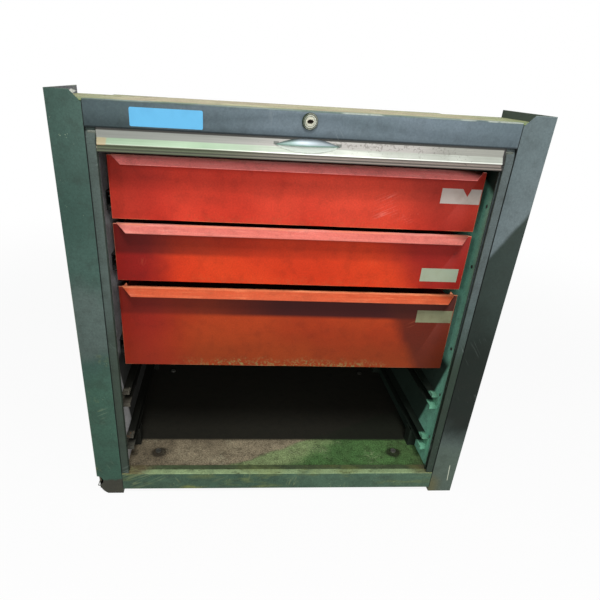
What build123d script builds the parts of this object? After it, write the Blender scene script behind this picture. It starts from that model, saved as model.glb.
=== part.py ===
from build123d import *
import os
from math import atan2, ceil, cos, degrees, hypot, pi, sin

# A steel tool cabinet with a roll-down tambour shutter in front of its drawers.
# Frame: +Z up, the front faces -Y, the origin is under the middle of the cabinet at floor level.
# All sizes are in millimetres.

# Casing
width = 660.0
depth = 450.0
height = 651.5
sheet = 1.2
flange_width = 44.0
flange_return = 14.0
rear_return = 20.0
foot_flange = 30.0
rim_rise = 9.5
rim_run = 158.0
rim_chamfer = 14.5
joint_gap = 0.2

# Header, deck, sill and floor
header_height = 32.0
header_fold = 14.0
deck_drop = 12.0
deck_flange = 16.0
sill_lift = 9.6
sill_height = 35.1
sill_fold = 24.0
floor_drop = 4.7
floor_flange = 24.0
floor_bolt_inset_x = 100.0
floor_bolt_inset_y = 70.0
floor_bolt_radius = 3.0
bolt_head_radius = 5.0
bolt_head_height = 3.2
bolt_nut_height = 5.0
bolt_hole_gap = 0.3

# Worn corner at the foot of the left flange
bite_height = 38.0
bite_depth = 17.0

# Shutter track
track_width = 12.5
track_setback = 1.4
track_gap = 7.6
bend_below_header = 19.9
track_tail = 30.0

# Curtain of interlocking slats
slat_pitch = 16.0
socket_outer = 2.6
socket_inner = 1.9
bead_radius = 1.6
slat_skin = 1.2
slat_crown = 0.4
mouth_angle = 55.0
slat_end_gap = 1.8
curtain_cover = 25.0

# Aluminium rail at the foot of the curtain
rail_height = 30.0
rail_cover = 1.1
rail_web = 1.5
rail_web_setback = 1.8
rail_slope_top = 17.5
rail_slope_foot = 8.4
rail_slope_proud = 2.0
rail_lip_proud = 2.6
rail_lip_height = 4.2
rail_foot = 5.0
rail_end_gap = 1.2
hinge_rise = 9.0
guide_height = 6.4
guide_gap = 0.6
shutter_stop_gap = 1.0

# Pull on the rail
pull_width = 88.0
pull_reach = 9.2
pull_wall = 1.4
pull_axis_drop = 9.6

# Lock in the header
lock_drop = 12.0
lock_face_radius = 10.3
lock_face_reach = 4.0
lock_barrel_radius = 8.0
lock_flats = 14.0
lock_barrel_depth = 12.0
plug_radius = 6.0
plug_fit = 0.08
plug_proud = 0.6
keyway_width = 6.0
keyway_height = 1.4
keyway_depth = 9.0
clip_width = 24.0
clip_thickness = 1.5
cam_thickness = 2.4
cam_reach = 9.0
cam_half_width = 5.0
cam_screw_radius = 4.5
cam_screw_height = 2.2

# Drawers
drawer_setback = 36.3
drawer_side_gap = 4.4
shallow_front = 86.2
deep_front = 135.5
drawer_gap = 6.5
deep_gap = 10.0
shutter_to_drawer = 7.5
drawer_sheet = 1.2
lip_reach = 19.3
lip_drop = 9.5
lip_end_inset = 5.0
lip_mitre = 16.5
front_return = 12.0
tab_height = 6.0
tab_base = 9.0
tab_lean = 1.5
tray_depth = 382.0
tray_side_gap = 7.0
tray_wall = 1.0
tray_lift = 6.0
tray_head_gap = 9.0

# Runners
rail_c_height = 20.0
rail_c_reach = 13.0
rail_rise = 12.5
rail_setback = 24.0
runner_gap = 0.6
runner_clearance = 1.0
runner_front_gap = 5.0
stop_tab = 6.0
liner_inset = 47.8
rivet_radius = 2.6
rivet_height = 0.9
rivet_inset = 12.0

# Posts under the lowest rail
post_width = 22.0
post_inset = 91.0
post_reach = 16.0
bay_margin = 10.0

# Paper labels
label_thickness = 0.3
drawer_label_width = 60.0
drawer_label_height = 21.5
drawer_label_insets = (1.2, 8.3, 1.2)
drawer_label_drops = (24.3, 52.6, 27.7)
header_label_width = 92.0
header_label_height = 22.0
header_label_inset = 101.0
header_label_corner = 2.0
tear_width = 13.0
tear_depth = 11.0
tear_inset = 16.0

# Places worked out from the sizes above
half = width / 2
front = (pull_reach - rail_web_setback - depth - rivet_height) / 2
back = front + depth
inner_face = half - sheet
flange_edge = half - flange_width
header_top = height - rim_rise
header_bottom = header_top - header_height
hood_top = header_top - sheet
hood_under = hood_top - sheet
hood_back = front + rim_run
deck_top = header_top - deck_drop
deck_under = deck_top - sheet
sill_top = sill_lift + sill_height
floor_top = sill_top - floor_drop
back_face = back - sheet
back_inner = back_face - sheet

track_half = track_gap / 2 + sheet
track_edge = flange_edge - track_width
track_y = front + track_setback + track_half
back_track_y = back_inner - track_half
roof_z = deck_under - track_half
bend_z = header_bottom - bend_below_header
bend_radius = roof_z - bend_z
quarter = bend_radius * pi / 2
front_centre_y = track_y + bend_radius
back_centre_y = back_track_y - bend_radius
roof_run = back_centre_y - front_centre_y

rail_bottom = header_bottom + rail_cover - rail_height
hinge_z = rail_bottom + hinge_rise
shutter_travel = rail_bottom - sill_top - shutter_stop_gap
slat_count = ceil((shutter_travel + curtain_cover) / slat_pitch)
slat_half = flange_edge - sheet - slat_end_gap
rail_half = track_edge - rail_end_gap
rail_front = front + rail_web_setback

drawer_y = front + drawer_setback
drawer_half = track_edge - drawer_side_gap
tray_half = drawer_half - tray_side_gap
liner_x = half - liner_inset - sheet
rail_edge = liner_x - rail_c_reach
runner_edge = track_edge - runner_clearance
liner_front = front + track_setback + 2 * track_half + joint_gap
liner_back = back_track_y - track_half - joint_gap
liner_top = bend_z - joint_gap
rail_back = liner_back - post_width / 4
lock_z = header_top - lock_drop


def block(x0, x1, y0, y1, z0, z1):
    """A rectangular block between two corners."""
    return Pos((x0 + x1) / 2, (y0 + y1) / 2, (z0 + z1) / 2) * Box(x1 - x0, y1 - y0, z1 - z0)


def outline(points):
    """A flat face with the given corners."""
    return make_face(Polyline(*points, close=True))


def folded(points, thickness):
    """A folded sheet's section, its thickness to the left of the way along the points."""
    def left(start, end):
        run = hypot(end[0] - start[0], end[1] - start[1])
        return (start[1] - end[1]) / run, (end[0] - start[0]) / run

    far_side = []
    for i, point in enumerate(points):
        before = left(points[i - 1], point) if i > 0 else left(point, points[i + 1])
        after = left(point, points[i + 1]) if i < len(points) - 1 else before
        mitre = thickness / (1 + before[0] * after[0] + before[1] * after[1])
        far_side.append((point[0] + mitre * (before[0] + after[0]), point[1] + mitre * (before[1] + after[1])))
    return outline(points + far_side[::-1])


def along_x(section, x0, x1):
    """A section drawn in (y, z), drawn out from x0 to x1."""
    return Pos(x0, 0, 0) * extrude(Plane.YZ * section, x1 - x0)


def along_y(section, y0, y1):
    """A section drawn in (x, z), drawn out from y0 to y1."""
    return Pos(0, y0, 0) * extrude(Plane.XZ * section, y0 - y1)


def along_z(section, z0, z1):
    """A section drawn in (x, y), drawn out from z0 to z1."""
    return Pos(0, 0, z0) * extrude(section, z1 - z0)


def barrel(radius, x, z, y0, y1):
    """A round bar that lies along Y."""
    return along_y(Pos(x, z) * Circle(radius), y0, y1)


def mirrored(solid):
    """The left-hand copy of a right-hand piece."""
    return mirror(solid, about=Plane.YZ)


# Casing

def side_panel():
    """The right side: outer skin, front flange with its rim, inner and rear returns, and foot flange."""
    plan = [
        (half - rear_return, back),
        (half, back),
        (half, front),
        (flange_edge, front),
        (flange_edge, front + flange_return),
    ]
    panel = along_z(folded(plan, -sheet), 0, height)
    panel += block(half - foot_flange, half, front, back, 0, sheet)
    panel -= block(0, half, hood_back, back, deck_top, height)
    corner = [
        (flange_edge, height - rim_chamfer),
        (flange_edge + rim_chamfer, height),
        (flange_edge, height),
    ]
    panel -= along_y(outline(corner), front, front + sheet)
    return panel - block(0, flange_edge + sheet, front + sheet, front + flange_return, hood_under, height)


def worn_side_panel():
    """The left side, with the corner at its foot rusted away in two bites."""
    upper = Pos(-half, (bite_height + bite_depth) / 2 + sheet) * Circle((bite_height - bite_depth) / 2)
    lower = make_face(
        Line((-half - sheet, 0), (-half + bite_depth, 0))
        + RadiusArc((-half + bite_depth, 0), (-half + bite_depth / 4, bite_depth), bite_depth * 1.5)
        + Polyline((-half + bite_depth / 4, bite_depth), (-half - sheet, bite_depth + sheet), (-half - sheet, 0))
    )
    corner = along_y(upper + lower, front, front + flange_return)
    return mirrored(side_panel()) - corner


def header():
    """The front board above the opening, with the hole for the lock."""
    section = [
        (front, header_bottom),
        (front, header_top),
        (front + header_fold, header_top),
    ]
    board = along_x(folded(section, -sheet), -flange_edge + joint_gap, flange_edge - joint_gap)
    return board - lock_section(lock_barrel_radius + plug_fit, lock_flats + 2 * plug_fit, front, front + sheet)


def deck_sheet(top, y0, y1):
    """A level sheet with its two sides turned down inside the side panels."""
    edge = inner_face
    section = [(-edge, top - deck_flange), (-edge, top), (edge, top), (edge, top - deck_flange)]
    return along_y(folded(section, -sheet), y0, y1)


def top_deck():
    """The top sheet: a raised hood between the rims, a step down, and the lower roof behind it."""
    hood = deck_sheet(hood_top, front + sheet + joint_gap, hood_back)
    hood -= block(-half, half, front, front + header_fold, 0, hood_under)
    hood += block(-inner_face, inner_face, hood_back - sheet, hood_back, deck_under, hood_top)
    roof = deck_sheet(deck_top, hood_back, back_inner)
    roof += block(-inner_face, inner_face, back_inner - sheet, back_inner, deck_top - deck_flange, deck_top)
    return hood + roof


def front_sill():
    """The folded board below the opening."""
    section = [
        (front + sill_fold / 2, sill_lift),
        (front, sill_lift),
        (front, sill_top),
        (front + sill_fold, sill_top),
        (front + sill_fold, floor_top),
    ]
    return along_x(folded(section, -sheet), -flange_edge + joint_gap, flange_edge - joint_gap)


def floor_bolt_places():
    """The middles of the four floor bolts."""
    x = half - floor_bolt_inset_x
    near = front + floor_bolt_inset_y
    far = back - floor_bolt_inset_y
    return [(side * x, y) for side in (-1, 1) for y in (near, far)]


def floor_pan():
    """The floor sheet with turned-down sides and holes for its bolts."""
    edge = inner_face
    section = [
        (-edge, floor_top - floor_flange),
        (-edge, floor_top),
        (edge, floor_top),
        (edge, floor_top - floor_flange),
    ]
    pan = along_y(folded(section, -sheet), front + flange_return + joint_gap, back_inner)
    neck = block(-flange_edge, flange_edge, front + sheet, front + flange_return + joint_gap,
                 floor_top - sheet, floor_top)
    pan += neck
    for x, y in floor_bolt_places():
        pan -= Pos(x, y, floor_top) * Cylinder(floor_bolt_radius + bolt_hole_gap, 4 * sheet)
    return pan


def back_panel():
    """The flat back, set against the rear returns of the sides."""
    return block(-inner_face, inner_face, back_inner, back_face, sill_lift, deck_under)


# Shutter track

def track():
    """The upright channel at the right of the opening; its front leg is the narrow strip."""
    y0 = front + track_setback
    y1 = y0 + 2 * track_half
    plan = [(track_edge, y0), (flange_edge, y0), (flange_edge, y1), (track_edge, y1)]
    return along_z(folded(plan, sheet), sill_top, bend_z)


def track_point(run):
    """The curtain line at a run from the foot of the front bend, as (y, z)."""
    if run < 0:
        return track_y, bend_z + run
    if run < quarter:
        turn = run / bend_radius
        return front_centre_y - bend_radius * cos(turn), bend_z + bend_radius * sin(turn)
    if run < quarter + roof_run:
        return front_centre_y + run - quarter, roof_z
    if run < 2 * quarter + roof_run:
        turn = (run - quarter - roof_run) / bend_radius
        return back_centre_y + bend_radius * sin(turn), bend_z + bend_radius * cos(turn)
    return back_track_y, bend_z - (run - 2 * quarter - roof_run)


def next_joint(run):
    """The run of the joint that lies one slat further, measured straight across."""
    y, z = track_point(run)
    near, far = run, run + 2 * slat_pitch
    for _ in range(40):
        middle = (near + far) / 2
        y1, z1 = track_point(middle)
        if hypot(y1 - y, z1 - z) < slat_pitch:
            near = middle
        else:
            far = middle
    return near


def slat_joints():
    """The joints of the raised curtain, from the rail up over the roof, as (y, z)."""
    run = hinge_z - bend_z
    joints = [track_point(run)]
    for _ in range(slat_count):
        run = next_joint(run)
        joints.append(track_point(run))
    return joints


def bend_band(inner, outer, centre_y, side):
    """A quarter ring between two offsets from the curtain line."""
    ring = Circle(bend_radius + outer) - Circle(bend_radius + inner)
    reach = bend_radius + outer
    return Pos(centre_y, bend_z) * (ring & Pos(side * reach / 2, reach / 2) * Rectangle(reach, reach))


def roof_band(inner, outer):
    """A band between two offsets from the curtain line: both bends, the roof and the back drop."""
    tail_z = min(slat_joints()[-1][1], bend_z) - track_tail
    thick = outer - inner
    middle = (inner + outer) / 2
    band = bend_band(inner, outer, front_centre_y, -1)
    band += Pos(front_centre_y + roof_run / 2, roof_z + middle) * Rectangle(roof_run, thick)
    band += bend_band(inner, outer, back_centre_y, 1)
    drop = bend_z - tail_z
    return band + Pos(back_track_y + middle, bend_z - drop / 2) * Rectangle(thick, drop)


def roof_track():
    """The curved channel that carries the raised curtain over the roof and down the back."""
    channel = along_x(roof_band(track_gap / 2, track_half), track_edge, flange_edge)
    channel += along_x(roof_band(-track_half, -track_gap / 2), track_edge, flange_edge)
    return channel + along_x(roof_band(-track_half, track_half), flange_edge - sheet, flange_edge)


# Curtain

def slat():
    """One slat, upright, with its socket round the origin and its bead one pitch above it."""
    reach = 2 * socket_outer
    spread = reach * sin(mouth_angle * pi / 180)
    fall = reach * cos(mouth_angle * pi / 180)
    mouth = outline([(0, 0), (-spread, -fall), (-spread, -reach), (spread, -reach), (spread, -fall)])
    socket = Circle(socket_outer) - Circle(socket_inner) - mouth
    neck = slat_skin / 2
    crown = socket_outer + slat_crown
    shoulder = slat_pitch - 1.5 * socket_outer
    throat = slat_pitch - 1.2 * socket_outer
    middle = 0.45 * slat_pitch
    body = make_face(
        ThreePointArc((-socket_outer, 0), (-crown, middle), (-1.5, shoulder))
        + Polyline(
            (-1.5, shoulder), (-neck, throat), (-neck, slat_pitch - neck), (neck, slat_pitch - neck),
            (neck, shoulder), (-neck, shoulder - slat_skin),
        )
        + ThreePointArc((-neck, shoulder - slat_skin), (-crown + slat_skin, middle), (-socket_inner, neck))
        + Line((-socket_inner, neck), (-socket_outer, 0))
    )
    section = socket + body + Pos(0, slat_pitch) * Circle(bead_radius)
    return along_x(section, -slat_half, slat_half)


def hung_slats(first, last):
    """The slats of the raised curtain from one number up to another, along its line."""
    joints = slat_joints()
    pattern = slat()
    slats = []
    for start, end in zip(joints[first:last], joints[first + 1:last + 1]):
        lean = degrees(atan2(end[0] - start[0], end[1] - start[1]))
        slats.append(Pos(0, *start) * Rot(-lean, 0, 0) * pattern)
    return slats


# Rail and pull

def tambour_rail():
    """The extruded rail: web, sloped band, groove, lip, foot and the bead that the first slat hooks on."""
    lip_y = rail_front - rail_web_setback - rail_lip_proud + rail_slope_proud
    slope_y = rail_front - rail_web_setback
    top = rail_bottom + rail_height
    foot_back = track_y + socket_outer
    web_back = rail_front + rail_web
    neck = slat_skin / 2
    y, z = slat_joints()[0]
    section = outline([
        (rail_front, top),
        (rail_front, rail_bottom + rail_slope_top),
        (slope_y - rail_slope_proud, rail_bottom + rail_slope_foot),
        (slope_y, rail_bottom + rail_slope_foot - 0.8),
        (slope_y, rail_bottom + rail_lip_height + 0.8),
        (lip_y - rail_slope_proud, rail_bottom + rail_lip_height),
        (lip_y - rail_slope_proud, rail_bottom + 0.8),
        (lip_y - rail_slope_proud + 0.8, rail_bottom),
        (foot_back, rail_bottom),
        (foot_back, rail_bottom + rail_foot),
        (y + neck, rail_bottom + rail_foot),
        (y + neck, z),
        (y - neck, z),
        (y - neck, rail_bottom + rail_foot),
        (web_back, rail_bottom + rail_foot),
        (web_back, top),
    ])
    section += Pos(y, z) * Circle(bead_radius)
    rail = along_x(section, -rail_half, rail_half)
    scoop = lens(pull_width / 2, pull_reach, -1)
    return rail - along_y(Pos(0, header_bottom - pull_axis_drop) * scoop, front - pull_reach, rail_front)


def lens(half_chord, rise, side):
    """The segment between a chord along X and an arc that rises from it, upward or downward."""
    arc = ThreePointArc((-half_chord, 0), (0, side * rise), (half_chord, 0))
    return make_face(arc + Line((half_chord, 0), (-half_chord, 0)))


def rail_pull():
    """The domed pull: a shell that swells out of the rail's face, open below for the fingers."""
    outer = lens(pull_width / 2, pull_reach, 1)
    inner = lens(pull_width / 2 - 3 * pull_wall, pull_reach - pull_wall, 1)
    dome = revolve(Plane.XZ * outer, Axis.X, 90) - revolve(Plane.XZ * inner, Axis.X, 90)
    return Pos(0, rail_front, header_bottom - pull_axis_drop) * dome


def rail_guide():
    """The nylon shoe at the right end of the rail, which runs in the track."""
    half_gap = track_gap / 2 - guide_gap
    return block(rail_half, slat_half, track_y - half_gap, track_y + half_gap,
                 rail_bottom, rail_bottom + guide_height)


# Lock

def lock_section(radius, flats, y0, y1):
    """A round bar with flats above and below, at the lock."""
    section = Pos(0, lock_z) * (Circle(radius) & Rectangle(2 * radius, flats))
    return along_y(section, y0, y1)


def lock_body():
    """The lock's face ring and its barrel through the header."""
    ring = barrel(lock_face_radius, 0, lock_z, front - lock_face_reach, front)
    rim = ring.edges().filter_by(GeomType.CIRCLE).sort_by(Axis.Y)[0]
    body = chamfer(rim, lock_face_reach / 4)
    body += lock_section(lock_barrel_radius, lock_flats, front, front + lock_barrel_depth)
    bore = barrel(plug_radius + plug_fit, 0, lock_z, front - lock_face_reach, front + lock_barrel_depth)
    return body - bore


def lock_clip():
    """The spring clip that holds the barrel behind the header."""
    y0 = front + sheet
    plate = block(-clip_width / 2, clip_width / 2, y0, y0 + clip_thickness,
                  lock_z - clip_width / 2, lock_z + lock_flats / 2)
    slot = block(-lock_barrel_radius, lock_barrel_radius, y0, y0 + clip_thickness,
                 lock_z, lock_z + clip_width)
    return plate - slot - lock_section(lock_barrel_radius, lock_flats, y0, y0 + clip_thickness)


def lock_plug():
    """The turning plug with its keyway and square tail."""
    face = front - lock_face_reach - plug_proud
    tail = front + lock_barrel_depth
    plug = barrel(plug_radius, 0, lock_z, face, tail)
    plug -= block(-keyway_width / 2, keyway_width / 2, face, face + keyway_depth,
                  lock_z - keyway_height / 2, lock_z + keyway_height / 2)
    square = cam_half_width / 2
    return plug + block(-square, square, tail, tail + cam_thickness, lock_z - square, lock_z + square)


def lock_cam():
    """The short cam on the plug's tail; it points sideways while the lock is open."""
    y0 = front + lock_barrel_depth
    y1 = y0 + cam_thickness
    square = cam_half_width / 2
    cam = barrel(cam_half_width, 0, lock_z, y0, y1)
    cam += block(0, cam_reach, y0, y1, lock_z - square, lock_z + square)
    return cam - block(-square, square, y0, y1, lock_z - square, lock_z + square)


def cam_screw():
    """The screw that holds the cam."""
    y0 = front + lock_barrel_depth + cam_thickness
    return barrel(cam_screw_radius, 0, lock_z, y0, y0 + cam_screw_height)


# Drawer places: the bottom of each front and its height, from the top down

def drawer_places():
    """The three drawers that are there, from the top down, as (bottom, height)."""
    top = rail_bottom - shutter_to_drawer
    places = []
    for front_height, gap in ((shallow_front, drawer_gap), (shallow_front, deep_gap), (deep_front, drawer_gap)):
        places.append((top - front_height, front_height))
        top -= front_height + gap
    return places


def empty_places():
    """The places of the missing drawers, as (bottom, height)."""
    places = []
    top = drawer_places()[-1][0] - drawer_gap
    while top - shallow_front > floor_top + bay_margin:
        places.append((top - shallow_front, shallow_front))
        top -= shallow_front + drawer_gap
    return places


# Inside of the casing

def liner():
    """The right inner wall that carries the rails, stepped over the sill."""
    wall = block(liner_x, liner_x + sheet, liner_front, liner_back, floor_top, liner_top)
    return wall - block(0, half, front, front + sill_fold + joint_gap, 0, sill_top)


def fixed_rail(bottom, setback):
    """A right-hand rail: a channel open to the drawer, with a stop tab at its front."""
    z0 = bottom + rail_rise
    z1 = z0 + rail_c_height
    y0 = drawer_y + drawer_sheet + runner_gap + setback
    section = [(rail_edge, z0), (liner_x, z0), (liner_x, z1), (rail_edge, z1)]
    rail = along_y(folded(section, sheet), y0, rail_back)
    rail += block(rail_edge, liner_x, y0, y0 + sheet, z0 - stop_tab, z0 + sheet)
    return rail + block(rail_edge, rail_edge + sheet, y0, y0 + 2 * stop_tab, z1 - sheet, z1 + stop_tab)


def posts():
    """The right posts, front and rear: channels that stand on the floor and carry the lowest rail."""
    lowest = (drawer_places() + empty_places())[-1][0] + rail_rise
    solids = []
    for y0 in (front + post_inset, rail_back - 2 * post_width):
        y1 = y0 + post_width
        plan = [(liner_x, y0), (liner_x - post_reach, y0), (liner_x - post_reach, y1), (liner_x, y1)]
        solids.append(along_z(folded(plan, -sheet), floor_top, lowest))
    return solids


def rail_rivets():
    """The rivets that hold the rails to both inner walls, near their two ends."""
    rivets = []
    for bottom, _ in drawer_places() + empty_places():
        z = bottom + rail_rise + rail_c_height + stop_tab
        for y in (liner_front + 2 * rivet_inset, liner_back - 2 * rivet_inset):
            rivet = Pos(liner_x - rivet_height / 2, y, z) * Rot(0, 90, 0) * Cylinder(rivet_radius, rivet_height)
            rivets += [rivet, mirrored(rivet)]
    return rivets


def back_screws():
    """The screws that hold the back to the rear returns of the sides."""
    screws = []
    rows = 4
    for row in range(rows):
        z = sill_top + (deck_under - 2 * sill_top) * row / (rows - 1)
        for side in (-1, 1):
            x = side * (half - rear_return / 2)
            screws.append(barrel(rivet_radius, x, z, back, back + rivet_height))
    return screws


def floor_bolts():
    """The four bolts through the floor."""
    bolts = []
    for x, y in floor_bolt_places():
        head = Pos(x, y, floor_top + bolt_head_height / 2) * Cylinder(bolt_head_radius, bolt_head_height)
        length = sheet + bolt_nut_height + sheet
        bolts.append(head + Pos(x, y, floor_top - length / 2) * Cylinder(floor_bolt_radius, length))
    return bolts


def floor_nuts():
    """The nuts under the floor."""
    nuts = []
    for x, y in floor_bolt_places():
        nut = RegularPolygon(bolt_head_radius, 6) - Circle(floor_bolt_radius)
        under = floor_top - sheet
        nuts.append(Pos(x, y, 0) * along_z(nut, under - bolt_nut_height, under))
    return nuts


# Drawer pieces

def drawer_front(bottom, front_height, tabs):
    """A drawer's front: flat face, bottom return, and the sloped lip that serves as its handle."""
    top = bottom + front_height
    face = folded([(drawer_y + front_return, bottom), (drawer_y, bottom), (drawer_y, top)], -drawer_sheet)
    board = along_x(face, -drawer_half, drawer_half)
    lip_half = drawer_half - lip_end_inset
    lip_tip = lip_half - lip_mitre
    lip_section = folded([(drawer_y + drawer_sheet, top), (drawer_y, top),
                          (drawer_y - lip_reach, top - lip_drop)], -drawer_sheet)
    plan = outline([(-lip_half, drawer_y), (-lip_tip, drawer_y - lip_reach - drawer_sheet),
                    (lip_tip, drawer_y - lip_reach - drawer_sheet), (lip_half, drawer_y),
                    (lip_half, drawer_y + front_return), (-lip_half, drawer_y + front_return)])
    board += along_x(lip_section, -lip_half, lip_half) & along_z(plan, bottom, top + front_return)
    if tabs:
        foot = lip_half - tab_base
        spike = outline([(lip_half, top - sheet), (foot + tab_lean, top + tab_height), (foot, top - sheet)])
        tab = along_y(spike, drawer_y, drawer_y + drawer_sheet)
        board += tab
        board += mirrored(tab)
    return board


def drawer_tray(bottom, front_height):
    """The open box behind a drawer's front."""
    y0 = drawer_y + drawer_sheet
    y1 = y0 + tray_depth
    z0 = bottom + tray_lift
    z1 = bottom + front_height - tray_head_gap
    hollow = block(-tray_half + tray_wall, tray_half - tray_wall, y0 + tray_wall, y1 - tray_wall,
                   z0 + tray_wall, z1)
    return block(-tray_half, tray_half, y0, y1, z0, z1) - hollow


def drawer_runner(bottom):
    """A right-hand runner: a channel on the tray's side, narrow enough to pass beside the track strip."""
    z0 = bottom + rail_rise + sheet + runner_gap
    z1 = bottom + rail_rise + rail_c_height - sheet - runner_gap
    y0 = drawer_y + drawer_sheet + runner_front_gap
    y1 = drawer_y + drawer_sheet + tray_depth
    section = [(runner_edge, z0), (tray_half, z0), (tray_half, z1), (runner_edge, z1)]
    return along_y(folded(section, -sheet), y0, y1)


def drawer_label(top, inset, drop, torn):
    """The paper label near the right end of a drawer's front."""
    x1 = drawer_half - inset
    x0 = x1 - drawer_label_width
    z1 = top - drop
    z0 = z1 - drawer_label_height
    paper = outline([(x0, z0), (x1, z0), (x1, z1), (x0, z1)])
    if torn:
        tear_x = x1 - tear_inset
        paper -= outline([(tear_x - tear_width, z1), (tear_x, z1), (tear_x - tear_width / 3, z1 - tear_depth)])
    return along_y(paper, drawer_y - label_thickness, drawer_y)


def header_label():
    """The blank sticker near the left end of the header."""
    x0 = -half + header_label_inset
    z0 = header_bottom + (header_height - header_label_height) / 3
    paper = RectangleRounded(header_label_width, header_label_height, header_label_corner)
    place = Pos(x0 + header_label_width / 2, z0 + header_label_height / 2)
    return along_y(place * paper, front - label_thickness, front)


def solids():
    """Every node's name and its solids."""
    right_track, right_roof_track, right_liner = track(), roof_track(), liner()
    right_posts, right_guide = posts(), rail_guide()
    named = {
        "side_panel_right": [side_panel()],
        "side_panel_left": [worn_side_panel()],
        "header": [header()],
        "top_deck": [top_deck()],
        "front_sill": [front_sill()],
        "floor_pan": [floor_pan()],
        "back_panel": [back_panel()],
        "track_right": [right_track],
        "track_left": [mirrored(right_track)],
        "roof_track_right": [right_roof_track],
        "roof_track_left": [mirrored(right_roof_track)],
        "liner_right": [right_liner],
        "liner_left": [mirrored(right_liner)],
        "post_right": right_posts,
        "post_left": [mirrored(post) for post in right_posts],
        "rail_rivets": rail_rivets(),
        "back_screws": back_screws(),
        "floor_bolts": floor_bolts(),
        "floor_nuts": floor_nuts(),
        "curtain_drop": hung_slats(0, 1),
        "curtain_slats": hung_slats(1, slat_count),
        "tambour_rail": [tambour_rail()],
        "rail_pull": [rail_pull()],
        "guide_right": [right_guide],
        "guide_left": [mirrored(right_guide)],
        "lock_body": [lock_body()],
        "lock_clip": [lock_clip()],
        "lock_plug": [lock_plug()],
        "lock_cam": [lock_cam()],
        "cam_screw": [cam_screw()],
        "header_label": [header_label()],
    }
    spare_rails = [fixed_rail(bottom, 0) for bottom, _ in empty_places()]
    named["spare_rails_right"] = spare_rails
    named["spare_rails_left"] = [mirrored(rail) for rail in spare_rails]
    deepest = len(drawer_places())
    for number, (bottom, front_height) in enumerate(drawer_places(), 1):
        rail, runner = fixed_rail(bottom, rail_setback), drawer_runner(bottom)
        named[f"rail_{number}_right"] = [rail]
        named[f"rail_{number}_left"] = [mirrored(rail)]
        named[f"drawer_{number}_front"] = [drawer_front(bottom, front_height, number == deepest)]
        named[f"drawer_{number}_tray"] = [drawer_tray(bottom, front_height)]
        named[f"drawer_{number}_runner_right"] = [runner]
        named[f"drawer_{number}_runner_left"] = [mirrored(runner)]
        inset, drop = drawer_label_insets[number - 1], drawer_label_drops[number - 1]
        named[f"drawer_{number}_label"] = [drawer_label(bottom + front_height, inset, drop, number == 1)]
    return named


os.makedirs("parts", exist_ok=True)
for name, pieces in solids().items():
    shape = Compound(children=pieces) if len(pieces) > 1 else pieces[0]
    shape.label = name
    export_step(shape, f"parts/{name}.step")

print(f"shutter travel {shutter_travel:.1f}, slats {slat_count}, hinge at z {hinge_z:.1f}")
print(f"front plane y {front:.2f}, back {back:.2f}, first slat top z {slat_joints()[1][1]:.2f}")
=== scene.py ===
"""A worn workshop cabinet with a tambour shutter and red drawers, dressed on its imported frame."""
from __future__ import annotations

import logging
import math
from contextlib import contextmanager
from dataclasses import dataclass, field
from enum import Enum
from typing import Any, Callable, Iterator, Mapping, Sequence

import bmesh
import bpy
from mathutils import Matrix, Vector
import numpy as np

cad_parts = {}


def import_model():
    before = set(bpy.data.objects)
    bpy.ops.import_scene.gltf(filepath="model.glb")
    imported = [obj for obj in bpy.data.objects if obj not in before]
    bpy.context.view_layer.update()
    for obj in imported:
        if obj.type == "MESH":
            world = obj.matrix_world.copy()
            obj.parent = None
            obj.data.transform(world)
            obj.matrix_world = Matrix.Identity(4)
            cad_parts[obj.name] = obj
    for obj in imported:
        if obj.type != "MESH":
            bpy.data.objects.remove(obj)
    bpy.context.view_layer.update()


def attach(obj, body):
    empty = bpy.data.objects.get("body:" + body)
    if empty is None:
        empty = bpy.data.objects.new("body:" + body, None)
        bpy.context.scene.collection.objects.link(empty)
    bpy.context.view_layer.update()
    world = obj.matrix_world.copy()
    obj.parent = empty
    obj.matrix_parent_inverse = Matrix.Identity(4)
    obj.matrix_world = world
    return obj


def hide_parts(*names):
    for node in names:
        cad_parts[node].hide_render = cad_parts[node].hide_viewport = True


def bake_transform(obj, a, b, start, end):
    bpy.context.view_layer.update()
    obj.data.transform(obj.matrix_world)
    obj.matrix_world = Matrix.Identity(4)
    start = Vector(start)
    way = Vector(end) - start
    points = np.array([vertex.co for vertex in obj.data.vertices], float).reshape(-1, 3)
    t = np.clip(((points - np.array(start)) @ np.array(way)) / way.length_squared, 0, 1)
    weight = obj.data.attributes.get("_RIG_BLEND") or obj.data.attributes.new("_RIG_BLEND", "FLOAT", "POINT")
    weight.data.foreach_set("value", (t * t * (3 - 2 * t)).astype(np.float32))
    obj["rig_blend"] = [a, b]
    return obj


LOG = logging.getLogger("tool_cabinet")

RGB = tuple[int, int, int]


class Axis(Enum):
    """The axes of the row frame, by their place in a vector."""

    X = 0
    Y = 1
    Z = 2


class Body(Enum):
    """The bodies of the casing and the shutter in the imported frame."""

    CABINET = "cabinet"
    SHUTTER = "shutter"


def linear(colour: RGB) -> tuple[float, float, float, float]:
    """Turns a screen colour into the scene's linear one.

    Args:
        colour: Red, green and blue from 0 to 255.

    Returns:
        Linear red, green and blue, with an alpha of 1.
    """
    parts = []
    for part in colour:
        share = part / 255
        parts.append(share / 12.92 if share <= 0.04045 else ((share + 0.055) / 1.055) ** 2.4)
    return (parts[0], parts[1], parts[2], 1.0)


# Shader wording

def _operator(operation: str, flipped: bool = False) -> Callable[..., Value]:
    """Makes one of the operators of Value, which adds a Math node.

    Args:
        operation: The node's operation.
        flipped: Whether the operator's own side comes last.

    Returns:
        The operator.
    """
    def apply(own: Value, *others: Value | float) -> Value:
        """Adds the node."""
        operands = (*others, own) if flipped else (own, *others)
        return own.nodes.add("ShaderNodeMath", {"operation": operation}, dict(enumerate(operands)))

    return apply


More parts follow.
